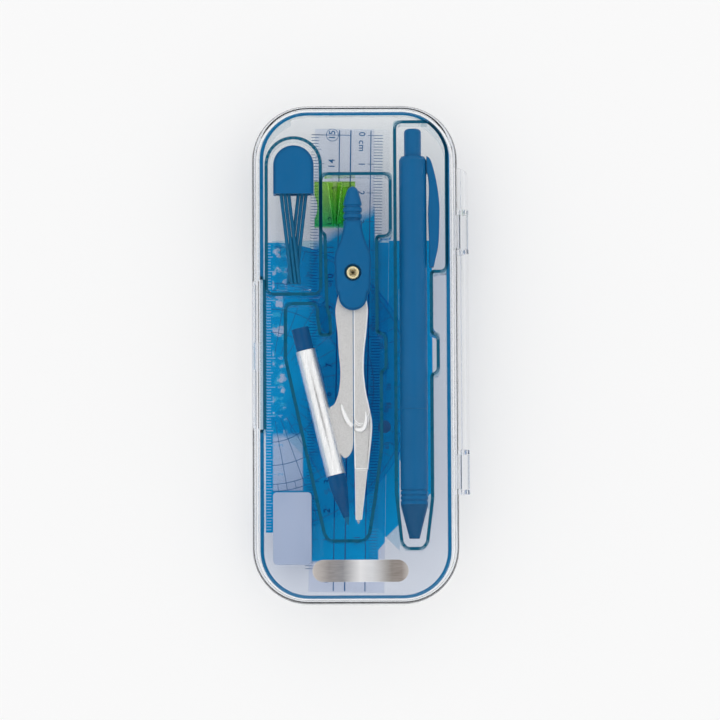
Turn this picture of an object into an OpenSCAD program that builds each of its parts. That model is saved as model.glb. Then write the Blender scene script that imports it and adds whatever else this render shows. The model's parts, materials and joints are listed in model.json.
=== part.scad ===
// Drafting instrument case: a clear hinged box with a tinted tray. The tray's wells hold a compass,
// a mechanical pencil and a lead box. A ruler, a protractor, two set squares, an eraser and a
// sharpener lie under the tray.
// Origin: middle of the flat underside. +Y runs along the case, +X to the hinge, +Z up to the lid.

/* [Case] */
// Width of the box across the lid, without the hinge
case_w = 70; // [66:0.5:90]
// Length of the box
case_l = 170; // [167:0.5:200]
// Corner radius of the box in plan
corner_r = 19; // [17:0.5:24]
// Thickness of the side walls
shell_wall = 1.7; // [1.5:0.1:2.6]
// Thickness of the base's floor
floor_t = 1.6; // [1.2:0.1:2.6]
// Thickness of the lid's roof
roof_t = 1.8; // [1.2:0.1:2.6]
// Radius of the soft outer edges
edge_r = 3; // [1.5:0.1:3.6]
// Height of the joint line between base and lid
parting_z = 12; // [11:0.1:14]
// Thickness of the locating lip on the base's rim
lip_t = 0.8; // [0.5:0.1:0.9]
// Height of the locating lip
lip_h = 1; // [0.5:0.1:2]
// Gap between the base's rim and the lid's rim
rim_gap = 0.1; // [0.05:0.05:0.3]
// Air between the pencil and the lid's roof
lid_air = 0.75; // [0.4:0.05:2]

/* [Hinge] */
// Distance of the hinge axis from the side wall's outer face
hinge_out = 2.1; // [2:0.05:3]
// Radius of the lid's knuckles
knuckle_r = 1.8; // [1.5:0.05:1.9]
// Radius of the stub pins on the knuckles
pin_r = 0.85; // [0.6:0.05:1.1]
// Radial clearance of the pins in the ears
pin_clearance = 0.07; // [0.04:0.01:0.1]
// Thickness of each ear on the base
ear_t = 1.5; // [1.2:0.1:2]
// Length of each knuckle
knuckle_l = 11.7; // [8:0.1:16]
// Gap at each end of a knuckle
knuckle_gap = 0.25; // [0.15:0.05:0.5]
// Distance of each hinge from the middle of the case
hinge_y = 41.2; // [36:0.1:48]
// Shift of both hinges towards the upper end
hinge_shift = 1.3; // [0:0.1:3]
// Length of the guard strip past the upper hinge
guard_l = 14.6; // [8:0.1:18]
// Thickness of the guard strip
guard_t = 1.6; // [1:0.1:2.4]

/* [Latch] */
// Length of the thumb recess in the lid's free side
thumb_l = 48.2; // [30:0.1:60]
// Depth of the thumb recess
thumb_in = 0.9; // [0.5:0.1:1]
// Height of the thumb recess
thumb_h = 6; // [4:0.1:7]
// Width of the latch tongue
tongue_w = 9.2; // [6:0.1:14]
// Length of the latch tongue below the joint line
tongue_l = 3; // [2:0.1:4]
// Thickness of the latch tongue
tongue_t = 1.1; // [0.8:0.05:1.3]
// Height of the bead on the latch tongue
bead_h = 0.35; // [0.2:0.05:0.4]

/* [Tray] */
// Thickness of the tray's walls, deck and floors
tray_wall = 1.2; // [0.8:0.1:1.4]
// Gap between tray and base along the long sides
tray_side_gap = 0.9; // [0.4:0.05:1.2]
// Gap between tray and base at the ends
tray_end_gap = 0.15; // [0.1:0.05:0.6]
// Width of the opening under the tray's skirt at both ends
skirt_open_w = 44; // [30:1:44]
// Height of the skirt over that opening
skirt_end_h = 6; // [4:0.5:8]
// Air between the tray's deck and the lid's roof
deck_air = 1.8; // [1:0.1:4]
// Round of the wells' corners
well_round = 1.6; // [0.8:0.1:2]
// Free space round an instrument in its well
well_gap = 0.9; // [0.6:0.05:1.2]

/* [Compass] */
// Diameter of the compass's turned grip
grip_d = 6.4; // [5:0.1:7]
// Length from the pivot to the tip of the grip
grip_l = 30.1; // [24:0.1:33]
// Width of the compass head
head_w = 12.2; // [10:0.1:13]
// Thickness of the compass head
head_t = 9; // [8:0.1:9.4]
// Length from the pivot to the round lower end of the head
head_drop = 12.8; // [10:0.1:14]
// Radius of the pivot screw's shank
screw_r = 1; // [0.8:0.05:1.4]
// Radius of the pivot screw's head
screw_head_r = 2.5; // [2:0.1:2.8]
// Thickness of the legs at the pivot end
leg_t = 3.2; // [2.6:0.1:3.4]
// Thickness of the legs' flat lower plates
plate_t = 2.2; // [1.6:0.1:2.4]
// Outer diameter of the pencil sleeve
sleeve_d = 6.7; // [6.4:0.1:8]
// Length of the pencil sleeve
sleeve_l = 43.8; // [30:0.1:46]
// Lean of the pencil sleeve in degrees
sleeve_lean = 13.6; // [12:0.1:14.5]
// Diameter of the short pencil
stub_d = 5.9; // [5:0.1:6.1]
// Length of the short pencil
stub_l = 69; // [60:0.5:71]
// Diameter of the short pencil's lead
stub_lead_d = 2; // [1.6:0.1:2.4]
// Length of the needle holder
holder_l = 17; // [12:0.1:18]
// Free length of the needle
needle_out = 1.4; // [1:0.1:4]
// Diameter of the needle
needle_d = 1.1; // [0.8:0.1:1.4]
// Swing of each leg that the well leaves, in degrees
leg_swing = 1.2; // [0.5:0.1:1.4]

/* [Mechanical pencil] */
// Diameter of the barrel
barrel_d = 9.35; // [8.4:0.05:9.6]
// Length of the upper barrel
upper_l = 83.4; // [70:0.1:84]
// Length of the lower barrel with the grip ribs
lower_l = 32.5; // [24:0.1:33]
// Length of the coloured ring between the barrels
joint_ring_l = 3.2; // [2:0.1:5]
// Length of the tapered tip
tip_l = 11.6; // [8:0.1:12]
// Diameter of the tip's end
tip_end_d = 4.5; // [3:0.1:5]
// Diameter of the push button
button_d = 5.8; // [4.6:0.1:5.8]
// Length of the button outside the barrel
button_l = 9.6; // [6:0.1:10]
// Travel of the push button
button_travel = 2.5; // [1:0.1:2.6]
// Reach of the clip from the barrel's axis
clip_reach = 9; // [7.5:0.1:9.2]
// Length of the clip
clip_l = 38; // [30:0.5:40]
// Width of the clip across the pencil
clip_w = 4; // [2.5:0.1:5]
// Thickness of the clip's arm
clip_t = 3.7; // [2.4:0.1:3.8]

/* [Lead box] */
// Width of the lead box's cap
cap_w = 13.8; // [12:0.1:14]
// Length of the cap
cap_l = 16.7; // [14:0.1:18]
// Thickness of the lead box's cap
cap_t = 7.2; // [6:0.1:8.6]
// Width of the lead box's clear body
box_w = 11.8; // [9:0.1:12]
// Length of the clear body below the cap
box_l = 32.8; // [24:0.1:33]
// Wall of the lead box
box_wall = 0.8; // [0.6:0.1:1]
// Diameter of one refill lead
refill_d = 1.2; // [0.5:0.1:1.2]
// Length of the refill leads
refill_l = 32; // [24:0.5:32.5]
// Travel of the cap that the well leaves
cap_travel = 1.7; // [0.5:0.1:2]

/* [Flat instruments] */
// Air between each end of the ruler and the tray's skirt
ruler_air = 1.9; // [1.6:0.1:8]
// Width of the ruler
ruler_w = 26; // [22:0.1:30]
// Thickness of the ruler
ruler_t = 1.2; // [0.8:0.1:1.6]
// Thickness of the protractor and of each set square
sheet_t = 1.2; // [0.8:0.1:1.4]
// Radius of the protractor
protractor_r = 50; // [40:0.5:50]
// Width of the strip under the protractor's zero line
base_strip = 1.4; // [1:0.1:2]
// Long side of the 45 degree set square
square45_l = 90; // [80:0.5:100]
// Short side of the 60 degree set square
square60_w = 55; // [45:0.5:55]

/* [Eraser and sharpener] */
// Width of the eraser
eraser_w = 13; // [10:0.1:13.4]
// Distance of the eraser from the tray's lower end
eraser_place = 12.1; // [9:0.1:14]
// Length of the eraser
eraser_l = 24.4; // [20:0.1:25]
// Thickness of the eraser
eraser_t = 9.5; // [8:0.1:11]
// Width of the sharpener
sharpener_w = 14; // [12:0.1:15]
// Length of the sharpener
sharpener_l = 15.6; // [14:0.1:16.5]
// Thickness of the sharpener
sharpener_t = 7.7; // [7.4:0.1:8.4]
// Diameter of the sharpener's hole
hole_d = 6.2; // [5.6:0.1:6.4]

/* [Hidden] */
$fn = 64;
eps = 0.01;      // overlap of pieces that are fused or cut
big = 400;       // longer than anything that it cuts
seat = 0.1;      // gap between a piece and what it lies on

// Heights, from the underside up
ruler_z = floor_t + seat;
protractor_z = ruler_z + ruler_t + seat;
square45_z = protractor_z + sheet_t + seat;
square60_z = square45_z + sheet_t + seat;
sharpener_z = ruler_z + ruler_t + seat;
eraser_z = protractor_z + sheet_t + seat;
well_under = sharpener_z + sharpener_t + seat;
well_z = well_under + tray_wall;
pencil_z = well_z + seat + barrel_d / 2;
compass_z = well_z + 2 * seat + head_t / 2;
lead_box_z = well_z + seat + cap_t / 2;
roof_z = pencil_z + barrel_d / 2 + lid_air;
case_h = roof_z + roof_t;
deck_z = roof_z - deck_air;

// Places in plan
hinge_x = case_w / 2 + hinge_out;
tray_w = case_w - 2 * (shell_wall + tray_side_gap);
tray_l = case_l - 2 * (shell_wall + tray_end_gap);
tray_r = corner_r - shell_wall - tray_side_gap;
ruler_l = tray_l - 2 * (tray_wall + ruler_air);
pencil_x = tray_w / 2 - 12.5;
pencil_top = tray_l / 2 - 5.6;
pivot_x = -0.7;
pivot_y = 27.9;
leg_end = -84.1;                   // from the pivot to the lower end of the needle holder
lead_x = -(tray_w / 2 - 11.5);
lead_y = tray_l / 2 - 27.9;        // joint between the lead box's cap and its body
hug = well_gap + tray_wall / 2;    // from an instrument to the middle of its well's wall
lead_half = cap_w / 2 + cap_travel + 0.1 + tray_wall / 2;   // same, from the lead box's middle

// Points of an arc round c, from angle a0 to a1
function arc(c, r, a0, a1, n = 12) =
  [for (i = [0:n]) let (a = a0 + (a1 - a0) * i / n) c + r * [cos(a), sin(a)]];

// Smooth curve through points, n steps to each stretch
function bend(a, b, c, d, t) =
  0.5 * (2 * b + (c - a) * t + (2 * a - 5 * b + 4 * c - d) * t * t + (3 * b - a - 3 * c + d) * t * t * t);
function smooth(p, n = 5) = [
  for (i = [0:len(p) - 2], k = [0:n - 1])
    bend(p[max(i - 1, 0)], p[i], p[i + 1], p[min(i + 2, len(p) - 1)], k / n),
  p[len(p) - 1]
];

module rounded_rect(w, l, r) {
  square([w - 2 * r, l], center = true);
  square([w, l - 2 * r], center = true);
  for (x = [-1, 1], y = [-1, 1]) translate([x * (w / 2 - r), y * (l / 2 - r)]) circle(r = r);
}

// Wall section from a corner's centre out to the outer face, with a round lower edge
module edge_section(r, h, e) {
  translate([0, e]) square([r, h - e]);
  square([r - e, e]);
  intersection() {
    translate([r - e, e]) circle(r = e);
    translate([r - e, 0]) square([e, e]);
  }
}

// Block with round corners in plan and a round lower edge, built from parts that meet at flat faces
module soft_box(w, l, r, h, e) {
  for (i = [0:3]) rotate([0, 0, 90 * i])
    translate([(i % 2 == 0 ? w : l) / 2 - r, (i % 2 == 0 ? l : w) / 2 - r, 0])
      rotate_extrude(angle = 90) edge_section(r, h, e);
  for (turn = [0, 180]) {
    rotate([0, 0, turn]) translate([w / 2 - r, l / 2 - r, 0])
      rotate([90, 0, 0]) linear_extrude(l - 2 * r) edge_section(r, h, e);
    rotate([0, 0, turn + 90]) translate([l / 2 - r, w / 2 - r, 0])
      rotate([90, 0, 0]) linear_extrude(w - 2 * r) edge_section(r, h, e);
  }
  translate([-(w / 2 - r), -(l / 2 - r), 0]) cube([w - 2 * r, l - 2 * r, h]);
}

// Flat shape drawn in X and Z, extruded along Y from y0 for length l
module along_y(y0, l) {
  translate([0, y0 + l, 0]) rotate([90, 0, 0]) linear_extrude(l) children();
}

// ---- Case ----

inner_edge_r = 0.3;
cavity_w = case_w - 2 * shell_wall;
cavity_l = case_l - 2 * shell_wall;
cavity_r = corner_r - shell_wall;
tongue_gap = 0.15;
tongue_x = -cavity_w / 2 + tongue_gap;            // outer face of the latch tongue
ear_r = knuckle_r + 0.1;
ear_foot = 5;                                     // height of an ear's web on the side wall
ear_place = knuckle_l / 2 + knuckle_gap;          // from the hinge's middle to its ears

// Lip round the rim, left out where the thumb recess thins the lid's wall
module lip_ring(h, spare) {
  open_l = thumb_l + 3 - 4 * spare;
  linear_extrude(h) difference() {
    rounded_rect(cavity_w + 2 * (lip_t + spare), cavity_l + 2 * (lip_t + spare), cavity_r + lip_t + spare);
    rounded_rect(cavity_w - 2 * spare, cavity_l - 2 * spare, cavity_r - spare);
    translate([-case_w, -open_l / 2]) square([case_w, open_l]);
  }
}

module ear_shape() {
  circle(r = ear_r);
  polygon([[-hinge_out - eps, 0], [-hinge_out - eps, -ear_foot],
    [ear_r * cos(45), -ear_r * sin(45)], [0, 0]]);
}

// Channel in the base's wall for the latch tongue's bead
module latch_channel() {
  translate([-cavity_w / 2 - bead_h - 0.15, -tongue_w / 2 - 0.5, parting_z - tongue_l - 0.6])
    cube([2 * shell_wall, tongue_w + 1, tongue_l + lip_h + 2]);
}

module guard_strip() {
  long = 2 * (hinge_y - ear_place);
  start = hinge_shift + hinge_y + ear_place + ear_t;
  reach = hinge_out + knuckle_r;
  corner = min(3.4, reach - 0.5);
  translate([case_w / 2 - eps, hinge_shift - long / 2, -guard_t]) cube([reach + eps, long, guard_t]);
  translate([case_w / 2 - eps, start - eps, -guard_t]) linear_extrude(guard_t)
    polygon(concat([[0, 0], [reach + eps, 0]],
      arc([reach - corner + eps, guard_l - corner], corner, 0, 90, 8), [[0, guard_l]]));
}

module base_shell() {
  color([0.92, 0.95, 0.97, 0.35]) difference() {
    union() {
      soft_box(case_w, case_l, corner_r, parting_z, edge_r);
      translate([0, 0, parting_z - eps]) lip_ring(lip_h + eps, 0);
      translate([0, 0, parting_z]) guard_strip();
      for (s = [-1, 1], e = [-ear_place - ear_t, ear_place])
        translate([hinge_x, 0, parting_z]) along_y(hinge_shift + s * hinge_y + e, ear_t) ear_shape();
    }
    translate([0, 0, floor_t]) soft_box(cavity_w, cavity_l, cavity_r, case_h, inner_edge_r);
    translate([hinge_x, 0, parting_z]) along_y(-case_l / 2, case_l) circle(r = pin_r + pin_clearance);
    latch_channel();
  }
}

module knuckle() {
  web_top = knuckle_r * 1.8;
  translate([hinge_x, 0, parting_z]) {
    along_y(-knuckle_l / 2, knuckle_l) {
      circle(r = knuckle_r);
      polygon([[-hinge_out - eps, rim_gap], [-hinge_out - eps, web_top],
        [-knuckle_r * sin(20), knuckle_r * cos(20)], [0, rim_gap]]);
    }
    along_y(-knuckle_l / 2 - knuckle_gap - ear_t, knuckle_l + 2 * (knuckle_gap + ear_t))
      circle(r = pin_r);
  }
}

module latch_tongue() {
  top = parting_z + lip_h + 2;
  translate([tongue_x, -tongue_w / 2, parting_z - tongue_l])
    cube([tongue_t, tongue_w, top - parting_z + tongue_l]);
  translate([0, 0, parting_z - tongue_l + bead_h]) along_y(-tongue_w / 2, tongue_w)
    translate([tongue_x, 0]) circle(r = bead_h);
}

module lid_shell() {
  lid_z = parting_z + rim_gap;
  roof_edge_r = 1.2;
  color([0.93, 0.96, 0.98, 0.35]) {
    difference() {
      union() {
        translate([0, 0, case_h]) mirror([0, 0, 1])
          soft_box(case_w, case_l, corner_r, case_h - lid_z, edge_r);
        for (s = [-1, 1]) translate([0, hinge_shift + s * hinge_y, 0]) knuckle();
      }
      difference() {
        translate([0, 0, roof_z]) mirror([0, 0, 1])
          soft_box(cavity_w, cavity_l, cavity_r, case_h, roof_edge_r);
        translate([-cavity_w / 2 - 1, -thumb_l / 2 - 1, lid_z + lip_h + 0.1])
          cube([thumb_in + 1, thumb_l + 2, thumb_h + 1]);
      }
      translate([0, 0, lid_z - eps]) lip_ring(lip_h + 0.1, 0.1);
      translate([-case_w / 2 - 1, -thumb_l / 2, lid_z - 1]) cube([thumb_in + 1, thumb_l, thumb_h + 1]);
    }
    latch_tongue();
  }
}

// ---- Tray ----

notch_in = thumb_in + 0.1;
notch_l = thumb_l + 3;
notch_z = parting_z - tongue_l - 0.6;
clip_x = pencil_x + clip_reach;
pencil_end = pencil_top - button_l - upper_l - joint_ring_l - lower_l - tip_l;
needle_x = pivot_x + 1.35;
needle_y = pivot_y + leg_end - needle_out;
swing_room = (pivot_y - needle_y) * sin(leg_swing);

module tray_plan(inset) {
  difference() {
    rounded_rect(tray_w - 2 * inset, tray_l - 2 * inset, tray_r - inset);
    translate([-tray_w / 2 - 1, -notch_l / 2 - inset])
      square([1 + notch_in + inset, notch_l + 2 * inset]);
  }
}

// Middle line of the wall round the mechanical pencil, with room for its clip and a finger
module pencil_well() {
  left = pencil_x - barrel_d / 2 - hug;
  right = pencil_x + barrel_d / 2 + hug;
  top = pencil_top + hug + 0.6;
  bottom = pencil_end - button_travel - hug + 0.5;
  clip_end = pencil_top - button_l - clip_l - 1.8;
  foot = tip_end_d / 2 + hug;
  finger_l = 7;
  polygon([[left, top], [left, pencil_end + tip_l + 4], [pencil_x - foot - 0.6, bottom + 2],
    [pencil_x - foot + 1, bottom], [pencil_x + foot - 1, bottom], [pencil_x + foot + 0.6, bottom + 2],
    [right, pencil_end + tip_l + 2], [right, -finger_l], [right + 2.2, -finger_l],
    [right + 2.2, finger_l], [right, finger_l], [right, clip_end], [clip_x + hug + 1, clip_end],
    [clip_x + hug + 1, top - 4], [clip_x + hug - 4, top]]);
}

// Middle line of the wall round the lead box
module lead_well() {
  arch_y = lead_y + cap_l - cap_w / 2;
  bottom = lead_y - box_l - hug - 0.4;
  translate([lead_x, arch_y]) circle(r = lead_half);
  translate([lead_x - lead_half, bottom]) square([2 * lead_half, arch_y - bottom]);
}

// Middle line of the wall round the compass, with the sharpener's bay beside its grip
module compass_well() {
  bay_left = lead_x + lead_half;
  top = pivot_y + grip_l + 3.9;
  bay_y = pivot_y + 13;
  neck = head_w / 2 + hug + 0.6;
  pocket_y = pivot_y - 10.5;
  stub_run = stub_l * sin(sleeve_lean);
  pocket_left = pivot_x - 2.4 - stub_run - stub_d / 2 - hug;
  foot_y = needle_y - hug - 4.5;
  polygon([[bay_left, top], [bay_left, bay_y], [pivot_x - neck - 1.3, bay_y],
    [pivot_x - neck - 0.7, pivot_y - 12], [pivot_x - neck + 0.2, pivot_y - 15.2],
    [pivot_x - neck + 0.6, pivot_y - 21.3], [pivot_x - 11.2, pivot_y - 21.3],
    [pivot_x - 12, pocket_y - 4.8], [pivot_x - 12, pocket_y], [pocket_left + 0.8, pocket_y],
    [pocket_left, pocket_y - 0.8], [pocket_left, pocket_y - 18.8],
    [needle_x - 11.4, foot_y + 2.5], [needle_x - 9.8, foot_y], [needle_x + 2.2, foot_y],
    [needle_x + 2.2 + swing_room, foot_y + 2.4], [needle_x + 4.2 + swing_room, needle_y + 8.8],
    [pivot_x + 9.6, pivot_y - 59.6], [pivot_x + 9.6, pivot_y - 34], [pivot_x + 11.2, pivot_y - 34], [pivot_x + 11.2, pivot_y - 20.7],
    [pivot_x + 8.2, pivot_y - 20.7], [pivot_x + 8.2, bay_y - 0.6], [pivot_x + 12.9, bay_y - 0.6],
    [pivot_x + 12.9, top]]);
}

// All wells, grown or shrunk from the middle of their walls, with round corners
module wells(grow) {
  offset(r = -well_round, $fn = 32) offset(r = 2 * well_round, $fn = 32)
    offset(r = -well_round, $fn = 32) offset(delta = grow) {
      pencil_well();
      lead_well();
    }
  offset(r = -well_round, $fn = 32) offset(r = 2 * well_round, $fn = 32)
    offset(r = -well_round, $fn = 32) offset(delta = grow) compass_well();
}

module instrument_tray() {
  deck_under = deck_z - tray_wall;
  skirt_cut = tray_wall + 1.5;        // takes the whole skirt in and stays clear of the wells
  color([0.25, 0.55, 0.82, 0.4]) difference() {
    union() {
      translate([0, 0, floor_t + seat]) linear_extrude(notch_z - floor_t - seat + eps)
        rounded_rect(tray_w, tray_l, tray_r);
      translate([0, 0, notch_z]) linear_extrude(deck_z - notch_z) tray_plan(0);
    }
    translate([0, 0, -1]) linear_extrude(notch_z - tray_wall + 1)
      rounded_rect(tray_w - 2 * tray_wall, tray_l - 2 * tray_wall, tray_r - tray_wall);
    for (s = [-1, 1]) translate([-skirt_open_w / 2, s * tray_l / 2 - skirt_cut, -1])
      cube([skirt_open_w, 2 * skirt_cut, deck_z - skirt_end_h + 1]);
    translate([0, 0, notch_z - tray_wall - eps]) linear_extrude(well_under - notch_z + tray_wall + eps)
      tray_plan(tray_wall);
    translate([0, 0, well_under - eps]) linear_extrude(deck_under - well_under + eps) difference() {
      tray_plan(tray_wall);
      wells(tray_wall / 2);
    }
    translate([0, 0, well_z]) linear_extrude(case_h) intersection() {
      tray_plan(tray_wall);
      wells(-tray_wall / 2);
    }
  }
}

// ---- Compass ----
// Drawn round its pivot, with +Y along the grip and Z = 0 in the middle of its thickness

module at_compass() {
  translate([pivot_x, pivot_y, compass_z]) children();
}

lap_gap = 0.1;                          // gap between the legs' lapped discs and the head's halves
lap_r = 5.2;                            // radius of the legs' lapped discs
screw_bore = screw_r + 0.06;
head_end_r = 4.9;                       // round lower end of the head
split = 0.12;                           // half the gap between the closed legs
sleeve_mid = [-11.15, -47.6];           // middle of the pencil sleeve
stub_tip = -39.3;                       // from the sleeve's middle to the short pencil's point
recess_r = screw_head_r + 0.45;
nut_r = 2.3;

module head_plan() {
  neck_y = 15;
  half = head_w / 2;
  flank = smooth([[-grip_d / 2 + 0.6, neck_y + 3], [-half + 2, neck_y - 3.6], [-half, neck_y - 9],
    [-half, 0], [-half + 0.3, -5.6], [-head_end_r - 0.2, -head_drop + head_end_r + 1]], 6);
  polygon(concat(flank,
    arc([0, -head_drop + head_end_r], head_end_r, 180, 360, 20),
    [for (i = [len(flank) - 1:-1:0]) [-flank[i][0], flank[i][1]]]));
}

// Turned grip with three ridges under a domed tip
module grip() {
  r = grip_d / 2;
  ridge_y = [for (i = [0:2]) grip_l - 11.6 + 2.25 * i];
  rotate([-90, 0, 0]) rotate_extrude() polygon(concat(
    [[0, 8], [r, 8], [r, grip_l - 13.4]],
    [for (y = ridge_y) each [[r, y - 0.5], [r - 0.4, y - 0.3], [r - 0.4, y + 0.3], [r, y + 0.5]]],
    smooth([[r - 0.1, grip_l - 5.8], [r - 0.9, grip_l - 2.9], [r - 1.7, grip_l - 0.9], [0, grip_l]], 4)));
}

module head_half(front) {
  side = front ? 1 : -1;
  inside = leg_t / 2 + lap_gap;
  edge = 1.1;
  difference() {
    union() {
      intersection() {
        grip();
        translate([-big / 2, 0, front ? 0.03 : -big - 0.03]) cube([big, big, big]);
      }
      translate([0, 0, front ? inside : -head_t / 2 + edge])
        linear_extrude(head_t / 2 - inside - edge) head_plan();
      translate([0, 0, front ? head_t / 2 - edge - eps : -head_t / 2])
        linear_extrude(edge + eps) offset(delta = -0.6) head_plan();
      // Spacer above the lapped discs, where the two halves meet
      intersection() {
        translate([0, 0, front ? 0.03 : -inside - eps]) linear_extrude(inside - 0.03 + eps) head_plan();
        translate([-big / 2, lap_r + 0.8, -big / 2]) cube(big);
      }
    }
    cylinder(r = screw_bore, h = big, center = true);
    if (front) translate([0, 0, head_t / 2 - 1.3]) cylinder(r = recess_r, h = 5);
    else translate([0, 0, -head_t / 2 - 1]) cylinder(r = nut_r, h = 1 + 1.4, $fn = 6);
  }
}

module compass_head_front() { color([0.03, 0.42, 0.68]) at_compass() head_half(true); }

module compass_head_back() { color([0.03, 0.42, 0.68]) at_compass() head_half(false); }

module compass_screw() {
  top = head_t / 2 - 1.3;
  head_h = 1.1;
  slot_l = 2.7;
  color([0.86, 0.78, 0.5]) at_compass() difference() {
    union() {
      translate([0, 0, -head_t / 2 + 0.1]) cylinder(r = screw_r, h = top + head_t / 2 - 0.1 + eps);
      translate([0, 0, top]) rotate_extrude() polygon(concat(
        [[0, 0], [screw_head_r, 0], [screw_head_r, 0.45]],
        smooth([[screw_head_r, 0.45], [screw_head_r * 0.72, head_h - 0.16], [0, head_h]], 5)));
    }
    for (turn = [45, 135]) rotate([0, 0, turn])
      translate([-slot_l / 2, -0.3, top + 0.35]) cube([slot_l, 0.6, 2]);
    translate([0, 0, top + 0.2]) cylinder(r1 = 0.35, r2 = 0.8, h = 1);
  }
}

module compass_nut() {
  color([0.8, 0.72, 0.45]) at_compass() translate([0, 0, -head_t / 2 + 0.05]) difference() {
    cylinder(r = nut_r - 0.1, h = 1.3, $fn = 6);
    translate([0, 0, -1]) cylinder(r = screw_r + 0.02, h = 4);
  }
}

// Outer edges of the legs, from the shoulder under the head down
left_edge = smooth([[-5.2, -8.4], [-5.95, -12.2], [-5.85, -15.6], [-5.3, -20.4], [-4.95, -26.5],
  [-4.4, -32.7], [-4.5, -37.1], [-5.1, -41.2], [-6.4, -44.6], [-7.7, -45.6]], 5);
right_edge = smooth([[4.6, -8.8], [5.1, -12.2], [4.95, -15.6], [4.4, -21.4], [3.85, -25.9],
  [3.6, -30.6], [3.65, -34.7], [4.3, -40.5], [5.4, -45.6], [6.2, -49.7], [6.4, -52.8],
  [6, -57.6], [5.2, -64.4], [4.9, -67]], 5);
nose_y = -60;                            // where the thick part of the legs ends

module lap_disc(z0, z1) {
  translate([0, 0, z0]) linear_extrude(z1 - z0) circle(r = lap_r);
}

module sleeve_axis() {
  translate([sleeve_mid[0], sleeve_mid[1], 0]) rotate([0, 0, sleeve_lean]) rotate([90, 0, 0]) children();
}

// Leg that carries the pencil sleeve on a curved arm
module compass_pencil_leg() {
  arm = concat(left_edge, [[-12, -52], [-6.5, -62]],
    smooth([[-4.4, -61.6], [-3.3, -63], [-1.9, -62.6], [-0.5, -60.4], [-split, -57.4]], 4),
    [[-split, -lap_r - 1]], [[-4.6, -lap_r - 1]]);
  thick = concat([for (p = left_edge) if (p[1] > -42) p],
    smooth([[-4.5, -42.4], [-3.9, -47], [-2.3, -51.5], [-0.9, -53.6], [-split, -54]], 5),
    [[-split, -lap_r - 1], [-4.6, -lap_r - 1]]);
  color([0.78, 0.77, 0.75]) at_compass() difference() {
    union() {
      lap_disc(lap_gap / 2, leg_t / 2);
      translate([0, 0, -plate_t / 2]) linear_extrude(plate_t) polygon(arm);
      translate([0, 0, -leg_t / 2]) linear_extrude(leg_t) polygon(thick);
      translate([0, 0, lap_gap / 2]) linear_extrude(leg_t / 2 - lap_gap / 2)
        translate([-4.6, -lap_r - 1.4]) square([4.6 - split, 5]);
    }
    cylinder(r = screw_bore, h = big, center = true);
    translate([0, 0, -leg_t]) cylinder(r = lap_r + 0.3, h = leg_t + lap_gap / 2);
    sleeve_axis() cylinder(r = sleeve_d / 2, h = sleeve_l + 20, center = true);
  }
}

module pencil_sleeve() {
  color([0.85, 0.85, 0.86]) at_compass() sleeve_axis() difference() {
    cylinder(r = sleeve_d / 2, h = sleeve_l, center = true);
    cylinder(r = stub_d / 2 + 0.05, h = sleeve_l + 2, center = true);
  }
}

// The short pencil's axis points down from its blunt end; its cone is cut by a sharpener
stub_cone_l = 13;
module stub_pencil() {
  point_r = 0.75;
  color([0.03, 0.36, 0.62]) at_compass() sleeve_axis() translate([0, 0, -stub_tip]) difference() {
    union() {
      translate([0, 0, -stub_l]) cylinder(r = stub_d / 2, h = stub_l - stub_cone_l);
      translate([0, 0, -stub_cone_l - eps])
        cylinder(r1 = stub_d / 2, r2 = point_r + 0.3, h = stub_cone_l - 2.6);
    }
    translate([0, 0, -stub_l - 1]) cylinder(r = stub_lead_d / 2, h = stub_l);
  }
}

module stub_pencil_lead() {
  point_l = 2.9;
  color([0.2, 0.2, 0.22]) at_compass() sleeve_axis() translate([0, 0, -stub_tip]) {
    translate([0, 0, -stub_l + 0.1]) cylinder(r = stub_lead_d / 2 - 0.01, h = stub_l - point_l - 0.1);
    translate([0, 0, -point_l]) cylinder(r1 = stub_lead_d / 2 - 0.01, r2 = 0.25, h = point_l);
  }
}

// Straight leg that carries the needle holder
module compass_needle_leg() {
  foot_y = leg_end + holder_l;
  plate = concat([[4.2, -lap_r - 1]], [for (p = right_edge) if (p[1] > foot_y) p], [[4.85, foot_y], [0.3, foot_y]],
    [[split, nose_y + 3], [split, -lap_r - 1]]);
  thick = concat([[4.2, -lap_r - 1]], [for (p = right_edge) if (p[1] > -48) p],
    arc([2.6, -49.5], 2.4, 0, -120, 8), [[split, -50.2], [split, -lap_r - 1]]);
  color([0.78, 0.77, 0.75]) at_compass() difference() {
    union() {
      lap_disc(-leg_t / 2, -lap_gap / 2);
      translate([0, 0, -plate_t / 2]) linear_extrude(plate_t) polygon(plate);
      translate([0, 0, -leg_t / 2]) linear_extrude(leg_t) polygon(thick);
      translate([0, 0, -leg_t / 2]) linear_extrude(leg_t / 2 - lap_gap / 2)
        translate([split, -lap_r - 1.4]) square([4.2 - split, 5]);
    }
    cylinder(r = screw_bore, h = big, center = true);
    translate([0, 0, -lap_gap / 2]) cylinder(r = lap_r + 0.3, h = leg_t);
  }
}

module needle_holder() {
  top = holder_l - 0.05;
  color([0.72, 0.7, 0.67]) at_compass() translate([0, leg_end, 0]) difference() {
    translate([0, 0, -plate_t / 2]) linear_extrude(plate_t)
      polygon([[0.6, 0], [2.75, 0], [4.7, top], [0.35, top]]);
    translate([needle_x - pivot_x + 0.2, 0, 0]) rotate([-90, 0, 0])
      translate([0, 0, -1]) cylinder(r = needle_d / 2 + 0.02, h = 9);
  }
}

module compass_needle() {
  inside = 7.8;
  color([0.6, 0.6, 0.62]) at_compass() translate([needle_x - pivot_x + 0.2, leg_end, 0]) rotate([90, 0, 0]) {
    translate([0, 0, -inside]) cylinder(r = needle_d / 2, h = inside + 0.6);
    translate([0, 0, 0.6]) cylinder(r1 = needle_d / 2, r2 = 0.08, h = needle_out - 0.6);
  }
}

// ---- Mechanical pencil ----
// Drawn along its axis: Z = 0 at the top of the button, growing towards the point

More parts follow.
